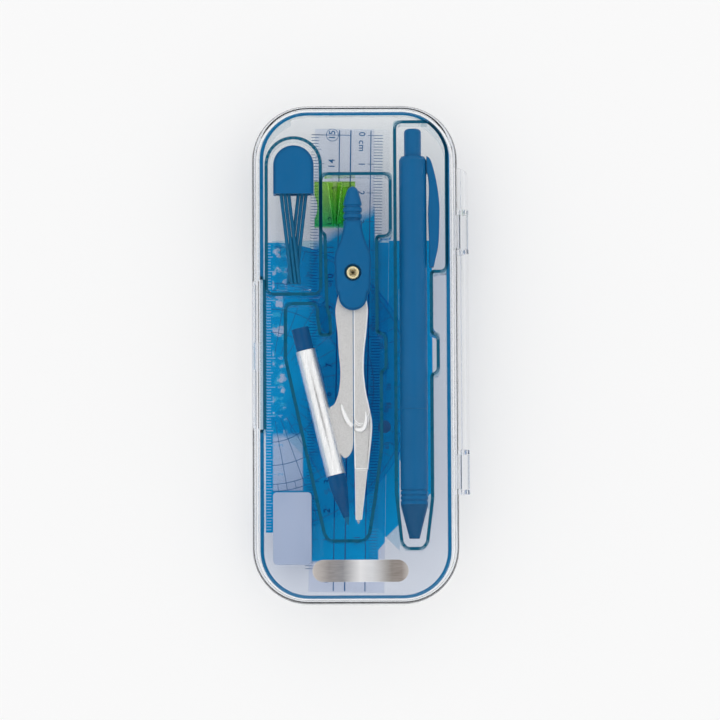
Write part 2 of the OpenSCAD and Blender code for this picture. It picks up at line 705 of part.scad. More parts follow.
module at_pencil() {
  translate([pencil_x, pencil_top, pencil_z]) rotate([90, 0, 0]) children();
}

slide_gap = 0.07;                        // running gap of the button in the barrel
button_bore = button_d / 2 + slide_gap;
barrel_bore = 3.1;
screw_joint_r = 3.7;                     // spigot between the barrels
upper_z = button_l;
ring_z = upper_z + upper_l;
lower_z = ring_z + joint_ring_l;
tip_z = lower_z + lower_l;
end_z = tip_z + tip_l;
magazine_r = 1.9;
magazine_z = upper_z + button_travel + 3.4;   // upper end of the lead magazine
flange_z = tip_z - 14;                        // spring's upper seat on the magazine
shoulder_z = tip_z - 2;                       // spring's lower seat in the lower barrel
spring_r = 2.4;
spring_wire = 0.4;

module tube(z0, z1, r, bore) {
  translate([0, 0, z0]) difference() {
    cylinder(r = r, h = z1 - z0);
    translate([0, 0, -1]) cylinder(r = bore, h = z1 - z0 + 2);
  }
}

module pencil_upper_barrel() {
  color([0.02, 0.4, 0.66]) at_pencil() difference() {
    union() {
      translate([0, 0, upper_z]) cylinder(r1 = barrel_d / 2 - 0.7, r2 = barrel_d / 2, h = 1.2);
      translate([0, 0, upper_z + 1.2 - eps]) cylinder(r = barrel_d / 2, h = upper_l - 1.2 + eps);
    }
    translate([0, 0, -1]) cylinder(r = button_bore, h = upper_z + 8);
    translate([0, 0, upper_z]) cylinder(r = barrel_bore - 0.3, h = upper_l + 1);
    translate([0, 0, ring_z - 5]) cylinder(r = screw_joint_r, h = 6);
  }
}

// Clip: a clamp ring seat on the barrel's flank and an arm that bows out and returns to the barrel
module pencil_clip() {
  flank = barrel_d / 2 + 0.03;
  root = 5.5;
  out = smooth([[flank, -0.2], [flank + 1.6, 1.6], [clip_reach - 1, 8.2], [clip_reach, 15.6],
    [clip_reach + 0.05, 21.5], [clip_reach - 0.3, 30], [clip_reach - 1.3, clip_l - 3],
    [clip_reach - 2, clip_l]], 5);
  in = smooth([[flank + 0.9, clip_l], [flank + 0.75, clip_l - 4], [clip_reach - clip_t + 0.2, 30],
    [clip_reach - clip_t - 0.1, 20], [flank + 0.8, root + 6], [flank + 0.5, root + 1.2], [flank, root]], 5);
  color([0.02, 0.45, 0.72]) at_pencil() translate([0, clip_w / 2, upper_z]) rotate([90, 0, 0])
    linear_extrude(clip_w) polygon(concat([[flank, root - 0.1], [flank, 0]], out, in));
}

module pencil_joint_ring() {
  color([0.02, 0.48, 0.74]) at_pencil()
    tube(ring_z + 0.02, lower_z - 0.02, barrel_d / 2 + 0.1, screw_joint_r + 0.02);
}

module pencil_lower_barrel() {
  groove_z = [for (i = [0:2]) tip_z - 1.4 - 1.7 * i];
  r = barrel_d / 2;
  color([0.02, 0.4, 0.66]) at_pencil() difference() {
    union() {
      translate([0, 0, ring_z - 4.9]) cylinder(r = screw_joint_r - 0.02, h = joint_ring_l + 5.1);
      translate([0, 0, lower_z]) cylinder(r = r, h = lower_l);
    }
    for (z = groove_z) translate([0, 0, z]) tube(-0.3, 0.3, r + 1, r - 0.25);
    translate([0, 0, ring_z - 6]) cylinder(r = 2.9, h = shoulder_z - ring_z + 6);
    cylinder(r = magazine_r + 0.1, h = big);
    translate([0, 0, tip_z - 0.6]) cylinder(r = screw_joint_r - 0.6, h = 1);
  }
}

module pencil_tip() {
  taper = 4;
  color([0.02, 0.34, 0.6]) at_pencil() difference() {
    union() {
      translate([0, 0, tip_z + 0.02]) cylinder(r1 = barrel_d / 2, r2 = barrel_d / 2 - 0.35, h = 1.5);
      translate([0, 0, tip_z + 1.5])
        cylinder(r1 = barrel_d / 2 - 0.35, r2 = tip_end_d / 2 + 0.5, h = tip_l - taper - 1.5 + eps);
      translate([0, 0, end_z - taper]) cylinder(r1 = tip_end_d / 2 + 0.5, r2 = tip_end_d / 2 - 0.5, h = taper);
    }
    translate([0, 0, tip_z - 1]) cylinder(r = 2.75, h = tip_l - 3.4);
    cylinder(r = 0.55, h = big);
  }
}

module push_button() {
  r = button_d / 2;
  dome = 1.2;
  color([0.03, 0.45, 0.72]) at_pencil() difference() {
    union() {
      rotate_extrude() polygon(concat([[0, 0], [r - dome, 0]],
        arc([r - dome, dome], dome, -90, 0, 8), [[r, upper_z + 1.9], [0, upper_z + 1.9]]));
      translate([0, 0, upper_z + 1.8]) cylinder(r = r - 0.35, h = magazine_z - upper_z + 2.2);
    }
    translate([0, 0, magazine_z - 6]) cylinder(r = magazine_r + 0.02, h = 20);
  }
}

module button_eraser() {
  color([0.95, 0.95, 0.95]) at_pencil()
    translate([0, 0, magazine_z - 5.9]) cylinder(r = magazine_r - 0.05, h = 5.8);
}

module lead_magazine() {
  color([0.9, 0.9, 0.92]) at_pencil() difference() {
    union() {
      translate([0, 0, magazine_z]) cylinder(r = magazine_r, h = flange_z + 4 - magazine_z);
      translate([0, 0, flange_z - 1]) cylinder(r = 2.7, h = 1);
    }
    translate([0, 0, magazine_z - 1]) cylinder(r = magazine_r - 0.5, h = flange_z + 6 - magazine_z);
  }
}

// Coil swept with a six-sided section, with its ends on the two seats
module advance_spring() {
  turns = 7;
  steps = 14;
  sides = 6;
  z0 = flange_z + spring_wire / 2 + 0.05;
  z1 = shoulder_z - spring_wire / 2 - 0.05;
  rings = turns * steps;
  points = [for (i = [0:rings], k = [0:sides - 1])
    let (a = 360 * i / steps, b = 360 * k / sides, r = spring_r + spring_wire / 2 * cos(b))
      [r * cos(a), r * sin(a), z0 + (z1 - z0) * i / rings + spring_wire / 2 * sin(b)]];
  walls = [for (i = [0:rings - 1], k = [0:sides - 1])
    let (a = i * sides + k, b = i * sides + (k + 1) % sides) [a, a + sides, b + sides, b]];
  ends = [[for (k = [0:sides - 1]) k], [for (k = [sides - 1:-1:0]) rings * sides + k]];
  color([0.75, 0.75, 0.78]) at_pencil() polyhedron(points, concat(walls, ends));
}

// Three-jawed chuck: a slit sleeve that grips the lead
module chuck() {
  z0 = flange_z + 4.05;
  jaw_z = tip_z + 2;
  color([0.85, 0.72, 0.4]) at_pencil() difference() {
    union() {
      translate([0, 0, z0]) cylinder(r = 1.2, h = jaw_z - z0);
      translate([0, 0, jaw_z - 1.8]) cylinder(r1 = 1.2, r2 = 1.7, h = 1.8);
      translate([0, 0, flange_z + 2]) cylinder(r = 1.38, h = 2.1);
    }
    translate([0, 0, flange_z]) cylinder(r = 0.42, h = big);
    for (turn = [0, 120, 240]) rotate([0, 0, turn])
      translate([0.2, -0.12, jaw_z - 6]) cube([3, 0.24, 8]);
  }
}

module chuck_ring() {
  color([0.85, 0.85, 0.88]) at_pencil() tube(tip_z + 0.05, tip_z + 1.9, 2.7, 1.8);
}

module pencil_lead() {
  color([0.15, 0.15, 0.17]) at_pencil() translate([0, 0, flange_z - 30])
    cylinder(r = 0.35, h = end_z - flange_z + 30 - 0.4);
}

// ---- Lead box ----
// Drawn round the joint between its cap and its body, with +Y towards the cap

module at_lead_box() {
  translate([lead_x, lead_y, lead_box_z]) children();
}

cap_wall = (cap_w - box_w) / 2 - 0.05;
box_t = cap_t - 2 * cap_wall - 0.1;
box_neck = 4;                            // length of the body that the cap covers

module arch(w, l, foot) {
  translate([0, l - w / 2]) circle(d = w);
  translate([-w / 2, foot]) square([w, l - w / 2 - foot]);
}

module lead_box_cap() {
  edge = 0.8;
  color([0.03, 0.4, 0.66]) at_lead_box() difference() {
    union() {
      translate([0, 0, -cap_t / 2 + edge]) linear_extrude(cap_t - 2 * edge) arch(cap_w, cap_l, 0);
      translate([0, 0, -cap_t / 2]) linear_extrude(cap_t) arch(cap_w - 2 * edge, cap_l - edge, 0);
    }
    translate([0, 0, -box_t / 2 - 0.05]) linear_extrude(box_t + 0.1)
      translate([-box_w / 2 - 0.05, -1]) square([box_w + 0.1, box_neck + 1.1]);
    translate([0, 0, -box_t / 2 + box_wall]) linear_extrude(box_t - 2 * box_wall)
      arch(box_w - 2 * box_wall, cap_l - cap_wall - box_wall, box_neck);
  }
}

module lead_box_body() {
  bottom = 1.2;
  color([0.9, 0.93, 0.96, 0.35]) at_lead_box() difference() {
    translate([-box_w / 2, -box_l, -box_t / 2]) cube([box_w, box_l + box_neck, box_t]);
    translate([-box_w / 2 + box_wall, -box_l + bottom, -box_t / 2 + box_wall])
      cube([box_w - 2 * box_wall, box_l + box_neck, box_t - 2 * box_wall]);
  }
}

// Three layers of leads, each layer leaning the other way from the one below
module refill_leads() {
  layers = 3;
  lean = 6.6;
  pitch = refill_d + 0.1;
  low = -box_t / 2 + box_wall + 0.02 + refill_d / 2;
  step = (box_t - 2 * box_wall - refill_d - 0.04) / (layers - 1);
  foot = -box_l + 1.3 + refill_d * 0.7;
  color([0.1, 0.2, 0.4]) at_lead_box() for (i = [0:layers - 1], row = [0:2]) {
    side = i % 2 == 0 ? 1 : -1;
    translate([side * (1.9 - pitch * row), foot, low + step * i])
      rotate([0, 0, side * lean]) rotate([-90, 0, 0]) cylinder(r = refill_d / 2, h = refill_l, $fn = 24);
  }
}

// ---- Flat instruments ----

ruler_lean = -1.02;
ruler_mid = [-2, -0.4];
square_x = tray_w / 2 - tray_wall - 4.7;        // right-hand edge of the 60 degree set square
square45_x = square_x - 11.5;
plastic = [0.1, 0.5, 0.8, 0.5];

module ruler() {
  bevel = 5;
  edge = ruler_t * 0.5;
  hang_r = 2;
  color([0.75, 0.82, 0.92, 0.5]) translate([ruler_mid[0], ruler_mid[1], ruler_z]) rotate([0, 0, ruler_lean])
    difference() {
      along_y(-ruler_l / 2, ruler_l) polygon([[-ruler_w / 2, 0], [ruler_w / 2, 0], [ruler_w / 2, edge],
        [ruler_w / 2 - bevel, ruler_t], [-ruler_w / 2 + bevel, ruler_t], [-ruler_w / 2, edge]]);
      translate([0, -ruler_l / 2 + 4 * hang_r, -1]) cylinder(r = hang_r, h = 4);
    }
}

module protractor() {
  x0 = -tray_w / 2 + tray_wall + 0.3;
  color(plastic) translate([x0 + base_strip, -9.9, protractor_z]) linear_extrude(sheet_t) {
    intersection() {
      circle(r = protractor_r);
      translate([0, -big / 2]) square(big);
    }
    translate([-base_strip, -protractor_r]) square([base_strip, 2 * protractor_r]);
  }
}

module set_square_45() {
  half = square45_l / 2;
  leg_band = 14 * sqrt(2);
  long_band = 14;
  hole_r = 2.2;
  color(plastic) translate([square45_x, -21.4, square45_z]) difference() {
    linear_extrude(sheet_t) polygon([[0, half], [0, -half], [-half, 0]]);
    translate([0, 0, -1]) linear_extrude(4)
      polygon([[-long_band, half - long_band - leg_band], [-long_band, -half + long_band + leg_band],
        [-half + leg_band, 0]]);
    translate([-2 * hole_r, -1.6 * hole_r, -1]) cylinder(r = hole_r, h = 4);
  }
}

module set_square_60() {
  long = square60_w * sqrt(3);
  hole_r = 2.2;
  color(plastic) translate([square_x, 40.3, square60_z]) difference() {
    linear_extrude(sheet_t) polygon([[0, 0], [-square60_w, 0], [0, -long]]);
    translate([-4 * hole_r, -4 * hole_r, -1]) cylinder(r = hole_r, h = 4);
  }
}

// ---- Eraser and sharpener ----

module eraser() {
  round_r = 1.2;
  x0 = -tray_w / 2 + tray_wall + 3;
  color([0.94, 0.95, 0.98]) translate([x0 + eraser_w / 2, -tray_l / 2 + eraser_place + eraser_l / 2, eraser_z])
    soft_box(eraser_w, eraser_l, round_r, eraser_t, 0.8);
}

// The wedge lies with its blade down. Y = 0 at the hole's wide end, growing towards its tip
module at_sharpener() {
  translate([pivot_x - 13.1 + sharpener_w / 2, pivot_y + 32.5, sharpener_z]) mirror([0, 1, 0])
    children();
}

hole_tip_d = 1.4;
hole_lean = atan((hole_d - hole_tip_d) / 2 / sharpener_l);
blade_t = 0.5;
blade_seat = sharpener_t / 2 - hole_d / 2 + 0.2;      // height of the blade's seat at the wide end

module sharpener_body() {
  scallop_r = 9;
  color([0.35, 0.78, 0.15, 0.7]) at_sharpener() difference() {
    translate([-sharpener_w / 2, 0, 0]) cube([sharpener_w, sharpener_l, sharpener_t]);
    translate([0, -eps, sharpener_t / 2]) rotate([-90, 0, 0])
      cylinder(d1 = hole_d, d2 = hole_tip_d, h = sharpener_l + 2 * eps);
    translate([-big / 2, 0, blade_seat]) rotate([hole_lean, 0, 0]) translate([0, -5, -20]) cube([big, 60, 20]);
    for (s = [-1, 1]) translate([s * (sharpener_w / 2 + scallop_r - 1), sharpener_l / 2 + 1, -1])
      cylinder(r = scallop_r, h = 20);
    translate([0, sharpener_l * 0.62, 0]) screw_hole(0.9);
  }
}

module screw_hole(r) {
  rotate([hole_lean, 0, 0]) translate([3.2, 0, -1]) cylinder(r = r, h = 4.6);
}

module sharpener_blade() {
  color([0.75, 0.76, 0.78]) at_sharpener() difference() {
    translate([0, 0, blade_seat]) rotate([hole_lean, 0, 0])
      translate([-1.2, 1.2, -blade_t - 0.03]) cube([sharpener_w / 2 + 0.4, sharpener_l - 2.4, blade_t]);
    translate([0, sharpener_l * 0.62, 0]) screw_hole(0.95);
  }
}

module sharpener_screw() {
  color([0.8, 0.8, 0.82]) at_sharpener() translate([0, sharpener_l * 0.62, 0]) rotate([hole_lean, 0, 0])
    translate([3.2, 0, 0.3]) {
      cylinder(r = 0.85, h = 3);
      cylinder(r = 1.6, h = 0.6);
    }
}

base_shell();
lid_shell();
instrument_tray();
compass_head_front();
compass_head_back();
compass_screw();
compass_nut();
compass_pencil_leg();
pencil_sleeve();
stub_pencil();
stub_pencil_lead();
compass_needle_leg();
needle_holder();
compass_needle();
pencil_upper_barrel();
pencil_clip();
pencil_joint_ring();
pencil_lower_barrel();
pencil_tip();
push_button();
button_eraser();
lead_magazine();
advance_spring();
chuck();
chuck_ring();
pencil_lead();
lead_box_body();
lead_box_cap();
refill_leads();
ruler();
protractor();
set_square_45();
set_square_60();
eraser();
sharpener_body();
sharpener_blade();
sharpener_screw();
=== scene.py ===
"""Looks of the drafting instrument case: materials, printed scales, lid plate, light and camera.

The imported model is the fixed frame: metres, with the case's length along Y, the hinge at +X and
the floor just under Z = 0. Tints and prints are laid out in millimetres.
"""

import json
import math

import bmesh
import bpy
from mathutils import Matrix, Vector


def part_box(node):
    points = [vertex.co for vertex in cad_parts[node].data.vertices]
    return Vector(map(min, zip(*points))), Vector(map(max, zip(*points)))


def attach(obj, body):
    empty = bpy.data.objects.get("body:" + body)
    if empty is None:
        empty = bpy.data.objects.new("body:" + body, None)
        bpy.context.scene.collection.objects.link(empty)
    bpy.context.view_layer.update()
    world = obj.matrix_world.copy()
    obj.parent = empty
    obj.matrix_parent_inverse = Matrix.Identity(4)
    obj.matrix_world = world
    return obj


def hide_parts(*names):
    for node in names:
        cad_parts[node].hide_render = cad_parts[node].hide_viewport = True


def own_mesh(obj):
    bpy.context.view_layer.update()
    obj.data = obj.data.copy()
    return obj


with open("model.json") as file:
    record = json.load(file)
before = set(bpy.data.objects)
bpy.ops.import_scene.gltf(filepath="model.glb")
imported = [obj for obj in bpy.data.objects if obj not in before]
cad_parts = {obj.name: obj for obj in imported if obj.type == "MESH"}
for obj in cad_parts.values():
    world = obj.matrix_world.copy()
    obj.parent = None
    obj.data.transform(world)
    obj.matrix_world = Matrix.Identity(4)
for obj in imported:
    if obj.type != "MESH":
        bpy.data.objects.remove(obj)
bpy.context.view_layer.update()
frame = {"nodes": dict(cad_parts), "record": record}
nodes = frame["nodes"]
scene = bpy.context.scene

MM = 0.001
SAME_POINT = 0.001 * MM             # corners closer than this are one
UP = Vector((0, 0, 1))
WHITE = (1.0, 1.0, 1.0)
PROTRACTOR = (-29.7, -9.9)          # the middle of its straight edge, in mm

# ---- Node helpers ----


class Nodes:
    """A node tree with short calls for the nodes used here."""

    def __init__(self, tree):
        self.tree = tree
        self.tree.nodes.clear()

    def node(self, kind, **inputs):
        made = self.tree.nodes.new(kind)
        for name, value in inputs.items():
            self.feed(made.inputs[name.replace("_", " ")], value)
        return made

    def feed(self, socket, value):
        if isinstance(value, bpy.types.NodeSocket):
            self.tree.links.new(value, socket)
        elif isinstance(value, tuple) and len(value) == 3 and socket.type == "RGBA":
            socket.default_value = (*value, 1)
        else:
            socket.default_value = value

    def operate(self, kind, operation, values):
        made = self.tree.nodes.new(kind)
        made.operation = operation
        for socket, value in zip(made.inputs, values):
            self.feed(socket, value)
        return made

    def calc(self, operation, *values):
        return self.operate("ShaderNodeMath", operation, values).outputs[0]

    def ramp(self, factor, *stops, interpolation="LINEAR"):
        """Colour ramp through (position, value or colour) stops."""
        made = self.node("ShaderNodeValToRGB", Fac=factor)
        made.color_ramp.interpolation = interpolation
        elements = made.color_ramp.elements
        while len(elements) < len(stops):
            elements.new(0.5)
        for element, (position, value) in zip(elements, stops):
            element.position = position
            element.color = (*value, 1) if isinstance(value, tuple) else (value, value, value, 1)
        return made.outputs["Color"]


class Shader(Nodes):
    """A material whose nodes go by the object's own coordinates."""

    def __init__(self, name):
        self.material = bpy.data.materials.new(name)
        self.material.use_nodes = True
        super().__init__(self.material.node_tree)
        self.output = self.tree.nodes.new("ShaderNodeOutputMaterial")

    def place(self, stretch=(1, 1, 1)):
        """The object's own coordinates in metres, stretched along the axes."""
        own = self.tree.nodes.new("ShaderNodeTexCoord").outputs["Object"]
        return self.node("ShaderNodeMapping", Vector=own, Scale=stretch).outputs[0]

    def plane(self):
        """X and Y of a spot in millimetres."""
        apart = self.node("ShaderNodeSeparateXYZ", Vector=self.place((1 / MM, 1 / MM, 1 / MM)))
        return apart.outputs["X"], apart.outputs["Y"]

    def noise(self, size, detail=2.0, stretch=(1, 1, 1), roughness=0.5):
        """Noise whose blotches are about size metres across."""
        made = self.node("ShaderNodeTexNoise", Vector=self.place(stretch), Scale=1 / size,
                         Detail=detail, Roughness=roughness)
        return made.outputs["Fac"]

    def mix(self, factor, a, b):
        made = self.tree.nodes.new("ShaderNodeMix")
        made.data_type = "RGBA"
        for index, value in ((0, factor), (6, a), (7, b)):
            self.feed(made.inputs[index], value)
        return made.outputs[2]

    def band(self, value, start, end):
        """0 at start and before it, 1 at end and past it, straight between them."""
        made = self.node("ShaderNodeMapRange", Value=value, From_Min=start, From_Max=end)
        return made.outputs[0]

    def both(self, *masks):
        """1 only where every mask is 1."""
        made = masks[0]
        for mask in masks[1:]:
            made = self.calc("MULTIPLY", made, mask)
        return made

    def bump(self, height, depth):
        made = self.node("ShaderNodeBump", Height=height, Distance=depth, Strength=1.0)
        return made.outputs["Normal"]

    def surface(self, **inputs):
        made = self.node("ShaderNodeBsdfPrincipled", **inputs)
        self.tree.links.new(made.outputs[0], self.output.inputs["Surface"])

    def absorb(self, passed, depth):
        """Plain absorption that lets the colour passed through a wall of that depth."""
        loss = [-math.log(c) / depth for c in passed]
        density = max(loss)
        made = self.node("ShaderNodeVolumeAbsorption", Density=density,
                         Color=tuple(1 - c / density for c in loss))
        self.tree.links.new(made.outputs[0], self.output.inputs["Volume"])


# ---- Tints of the clear pieces ----
# A pair such as WORN_LEFT gives, in mm, where its tint starts and where it is full. A pair such as
# SLANT gives the slope and the height of a line, also in mm.

BLUE = (0.004, 0.43, 0.82)          # a sheet that lies alone
UNDER = (0.80, 0.93, 0.98)          # the same sheet where another one already colours the light
CLEAR = (0.84, 0.87, 0.95)          # a sheet's part without its blue
BRIGHT = (0.98, 0.99, 1.0)          # the clearest part, under the ruler's right-hand ticks
WORN = (0.62, 0.74, 0.92)           # where the protractor has lost its blue
TRAY_LOWER, TRAY_UPPER = (0.86, 0.87, 0.96), (1.0, 0.98, 0.98)
GREEN_LOWER, GREEN_UPPER = (0.02, 0.70, 0.30), (0.62, 0.90, 0.25)

PROTRACTOR_RIM = (50.0, 49.9)       # from its middle
PROTRACTOR_EDGE = (-30.8, -30.7)


def on_protractor(s, x, y):
    """1 where the protractor covers a spot."""
    across, along = (s.calc("SUBTRACT", spot, middle) for spot, middle in zip((x, y), PROTRACTOR))
    reach = s.calc("SQRT", s.calc("ADD", s.calc("MULTIPLY", across, across),
                                  s.calc("MULTIPLY", along, along)))
    return s.both(s.band(reach, *PROTRACTOR_RIM), s.band(x, *PROTRACTOR_EDGE))


TICK_STRIP = (6.8, 7.0)
STRIP_TOP, STRIP_CLEAR = (40.2, 40.1), (0.0, 10.0)
SLANT, SLANT_FADE, RAGGED = (0.6, 47.0), (-1.5, 2.5), 2.0
RULER_FOOT = (-70.2, -69.4)
CORNER_SIDE, CORNER_SLANT, CORNER_FADE = 7.8, (-1.2, 75.3), (0.0, 0.4)


def ruler_tint(s):
    """Nearly clear at both ends and along the lower right edge, blue over the rest."""
    x, y = s.plane()
    strip = s.band(x, *TICK_STRIP)
    slant = s.calc("SUBTRACT", s.calc("MULTIPLY_ADD", x, *SLANT), y)
    ragged = s.calc("ADD", slant, s.calc("MULTIPLY", s.noise(3 * MM, detail=3.0), RAGGED))
    top = s.mix(strip, s.band(ragged, *SLANT_FADE), s.band(y, *STRIP_TOP))
    corner = s.calc("MAXIMUM", s.calc("SUBTRACT", CORNER_SIDE, x),
                    s.calc("ADD", y, s.calc("MULTIPLY_ADD", x, *CORNER_SLANT)))
    inside = s.both(top, s.band(y, *RULER_FOOT), s.band(corner, *CORNER_FADE))
    clear = s.mix(s.both(strip, s.band(y, *STRIP_CLEAR)), CLEAR, BRIGHT)
    return s.mix(inside, clear, s.mix(on_protractor(s, x, y), BLUE, UNDER))


RULER_LEAN, RULER_SIDE = -0.0178, (11.1, 11.0)
SQUARE_45_APEX, SQUARE_45_FADE, SQUARE_45_BACK = (-30.0, -21.4), (0.0, 0.1), (15.1, 15.0)
LOW_SLANT, LOW_FADE = (0.97, -71.4), (0.0, 0.5)


def square_tint(s, over_square_45=False):
    """Blue where the set square lies alone, pale over the other sheets and low on the right."""
    x, y = s.plane()
    past_ruler = s.calc("MULTIPLY_ADD", y, RULER_LEAN, x)
    covered = s.calc("MAXIMUM", on_protractor(s, x, y), s.band(past_ruler, *RULER_SIDE))
    if over_square_45:
        across, along = (s.calc("SUBTRACT", spot, apex) for spot, apex in
                         zip((x, y), SQUARE_45_APEX))
        from_apex = s.calc("SUBTRACT", across, s.calc("ABSOLUTE", along))
        on_it = s.both(s.band(x, *SQUARE_45_BACK), s.band(from_apex, *SQUARE_45_FADE))
        covered = s.calc("MAXIMUM", covered, on_it)
    low = s.band(s.calc("SUBTRACT", s.calc("MULTIPLY_ADD", x, *LOW_SLANT), y), *LOW_FADE)
    return s.mix(low, s.mix(covered, BLUE, UNDER), CLEAR)


WORN_LEFT, WORN_RIGHT = (-28.6, -28.2), (-18.0, -18.4)
WORN_FOOT, WORN_TOP = (-45.8, -45.2), (-25.5, -27.5)
FLECKS_RIGHT, FLECKS_FOOT = (-23.0, -25.0), (-28.0, -26.0)
FLECK_NOISE = (0.53, 0.56)


def protractor_tint(s):
    """Blue, with a worn pale field low on the left and flecks of it above."""
    x, y = s.plane()
    field = s.both(s.band(y, *WORN_FOOT), s.band(y, *WORN_TOP))
    flecks = s.both(s.band(s.noise(4 * MM, detail=3.0), *FLECK_NOISE), s.band(x, *FLECKS_RIGHT),
                    s.band(y, *FLECKS_FOOT))
    pale = s.both(s.band(x, *WORN_LEFT), s.band(x, *WORN_RIGHT), s.calc("MAXIMUM", field, flecks))
    return s.mix(pale, BLUE, WORN)


TRAY_FADE = (30.0, 65.0)


def tray_tint(s):
    """A little paler towards the upper end of the tray."""
    return s.mix(s.band(s.plane()[1], *TRAY_FADE), TRAY_LOWER, TRAY_UPPER)


def sharpener_tint(s):
    """Yellow-green above, deeper green below."""
    low, high = (corner[1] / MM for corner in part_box("sharpener_body"))
    return s.mix(s.band(s.plane()[1], low, high - 2.0), GREEN_LOWER, GREEN_UPPER)


# ---- Kinds of material ----

CLEAR_IOR = 1.33        # under polystyrene's 1.59, so that the many clear walls stay free of haze
MOULDED_IOR = 1.5
DULL = 0.2              # specular level of the opaque plastics and the ink


def clear_plastic(name, passed, depth, tint=WHITE):
    """Polished transparent plastic: moulding waves, fine wiping marks and a tint by depth.

    The tint of the surface is one colour, or a function that draws it with the shader's nodes.
    """
    s = Shader(name)
    waves = s.bump(s.noise(14 * MM, detail=1.0), 0.02 * MM)
    marks = s.ramp(s.noise(3 * MM, detail=5.0, stretch=(1, 0.12, 1)), (0.45, 0.0), (0.8, 0.05))
    s.surface(Base_Color=tint(s) if callable(tint) else tint, Roughness=marks, IOR=CLEAR_IOR,
              Transmission_Weight=1.0, Normal=waves)
    s.absorb(passed, depth)
    return s.material


def moulded_plastic(name, colour, deep, roughness=0.3, grain=0.006 * MM):
    """Opaque moulded plastic: faint flow marks, an orange-peel grain and uneven gloss."""
    s = Shader(name)
    flow = s.ramp(s.noise(9 * MM, detail=3.0, stretch=(1, 0.35, 1)), (0.3, 0.0), (0.75, 1.0))
    gloss = s.ramp(s.noise(2.2 * MM, detail=4.0), (0.3, roughness - 0.06), (0.7, roughness + 0.08))
    s.surface(Base_Color=s.mix(flow, deep, colour), Roughness=gloss, IOR=MOULDED_IOR,
              Specular_IOR_Level=DULL, Normal=s.bump(s.noise(0.35 * MM, detail=2.0), grain))
    return s.material


def rounded(s):
    """1 on the faces of a rounded edge, 0 on level and upright faces."""
    facing = s.tree.nodes.new("ShaderNodeNewGeometry").outputs["True Normal"]
    lean = s.calc("ABSOLUTE", s.node("ShaderNodeSeparateXYZ", Vector=facing).outputs["Z"])
    return s.both(s.band(lean, 0.15, 0.2), s.band(lean, 0.97, 0.95))


def metal(name, colour, dark, roughness, grain_size, grain, stretch=(1, 1, 1), metallic=1.0,
          painted_edge_highlight=None):
    """Metal with a grain of its own: blasted when stretch is even, brushed or turned when not; a
    colour given for rounded edges paints a highlight on them.
    """
    s = Shader(name)
    grains = s.noise(grain_size, detail=3.0, stretch=stretch, roughness=0.65)
    paint = s.mix(s.ramp(grains, (0.35, 0.0), (0.62, 1.0)), dark, colour)
    # Faces of rounded edges can take a lighter colour of their own: a painted highlight on them
    s.surface(Base_Color=s.mix(rounded(s), paint, painted_edge_highlight) if painted_edge_highlight else paint, Metallic=metallic,
              Roughness=s.ramp(grains, (0.3, roughness + 0.07), (0.7, roughness - 0.05)),
              Normal=s.bump(grains, grain))
    return s.material


def ink(name, colour, mottle):
    """Screen-printed ink: matt, a little uneven in colour."""
    s = Shader(name)
    s.surface(Base_Color=s.mix(s.noise(0.8 * MM, detail=3.0), colour, mottle), Roughness=0.6,
              Specular_IOR_Level=DULL)
    return s.material


# ---- Materials of the CAD nodes, by slot ----

SHEET = 1.2 * MM                    # thickness of the flat instruments
CLEAR_SHEET, BLUE_SHEET = (0.97, 0.98, 0.99), (0.8, 0.96, 0.98)    # colours passed by a sheet

CLEAR_PLASTICS = {                  # colour passed, through that depth, and tint of the surface
    "clear_polystyrene": ((0.955, 0.965, 0.98), 10 * MM),
    "tinted_polystyrene": ((0.93, 0.965, 0.975), 1 * MM, tray_tint),
    "instrument_blue": (BLUE_SHEET, SHEET, square_tint),
    "instrument_clear": (CLEAR_SHEET, SHEET, ruler_tint),
    "sharpener_green": ((0.80, 0.95, 0.70), 4 * MM, sharpener_tint),
}
MOULDED_PLASTICS = {                # colour, colour of the flow marks, roughness and grain
    "blue_plastic": ((0.0, 0.12, 0.31), (0.0, 0.11, 0.28), 0.36, 0.001 * MM),
    "natural_plastic": ((0.8, 0.81, 0.84), (0.7, 0.71, 0.76)),
    "blue_lacquer": ((0.0, 0.09, 0.26), (0.0, 0.06, 0.18), 0.2),
    "eraser_vinyl": ((0.52, 0.58, 0.70), (0.46, 0.53, 0.66), 0.6, 0.02 * MM),
    "graphite": ((0.0, 0.15, 0.31), (0.0, 0.10, 0.22), 0.4),
}
METALS = {                          # colour, dark of the grain, roughness, size and depth of grain
    # satin_silver's last value, white, is a painted highlight on the faces of its rounded edges
    "satin_silver": ((0.76, 0.755, 0.75), (0.60, 0.595, 0.59), 0.4, 0.28 * MM, 0.008 * MM,
                     (1, 1, 1), 0.5, WHITE),
    "sleeve_metal": ((0.92, 0.92, 0.92), (0.80, 0.80, 0.80), 0.28, 0.5 * MM, 0.004 * MM,
                     (1, 0.1, 1)),
    "screw_brass": ((0.90, 0.80, 0.52), (0.62, 0.50, 0.25), 0.22, 0.4 * MM, 0.006 * MM),
    "chuck_brass": ((0.83, 0.66, 0.32), (0.6, 0.45, 0.2), 0.25, 0.4 * MM, 0.004 * MM, (1, 6, 1)),
    "steel": ((0.7, 0.71, 0.73), (0.45, 0.46, 0.48), 0.25, 0.4 * MM, 0.004 * MM, (1, 0.2, 1)),
}
materials = {slot: make(slot, *facts)
             for make, table in ((clear_plastic, CLEAR_PLASTICS),
                                 (moulded_plastic, MOULDED_PLASTICS), (metal, METALS))
             for slot, facts in table.items()}

own_material = {
    "protractor": clear_plastic("protractor_blue", CLEAR_SHEET, SHEET, protractor_tint),
    "set_square_60": clear_plastic("square_60_blue", BLUE_SHEET, SHEET,
                                   lambda s: square_tint(s, over_square_45=True)),
    "pencil_tip": moulded_plastic("tip_blue", (0.005, 0.08, 0.20), (0.003, 0.07, 0.18), 0.32,
                                  0.001 * MM),
}

slot_of = {part["node"]: part["material_slot"] for part in frame["record"]["subparts"]}

